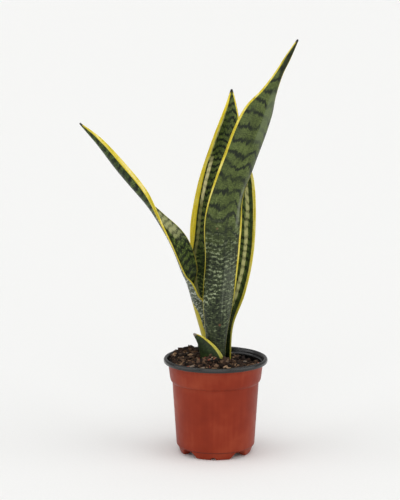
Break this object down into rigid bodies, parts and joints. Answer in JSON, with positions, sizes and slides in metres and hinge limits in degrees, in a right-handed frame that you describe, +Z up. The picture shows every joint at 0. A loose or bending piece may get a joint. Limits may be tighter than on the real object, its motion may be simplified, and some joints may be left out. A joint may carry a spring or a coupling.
{
  "type": "potted snake plant",
  "caption": "Upright houseplant with stiff, channelled, yellow-edged leaves rising from soil in a tapered plastic nursery pot with a rolled rim and grooved feet.",
  "frame": {"origin": "middle of the whole plant's footprint, on the surface that the pot's feet stand on", "axes": "+Z up, -Y towards the front that shows the short leaf and the outer face of the tall leaf, +X to the right; the pot's axis is at x = +0.0288"},
  "size_m": [0.2342, 0.1134, 0.45],
  "materials": {
    "pot": "red-brown thermoformed polystyrene sheet with a soft sheen, near-black on the inside and on the rolled rim",
    "soil": "chunky dark potting mix of peat, bark and fibre crumbs",
    "rhizome": "smooth ochre creeping stem with thick roots",
    "leaf": "stiff waxy leaf, dark green with grey-green crossbands and a yellow margin"
  },
  "bodies": {
    "root": {"pot": "pot", "soil": "soil", "rhizome": "rhizome", "leaf_front": "leaf", "leaf_left": "leaf", "leaf_back_left": "leaf", "leaf_back_right": "leaf", "leaf_short": "leaf"}
  },
  "joints": []
}
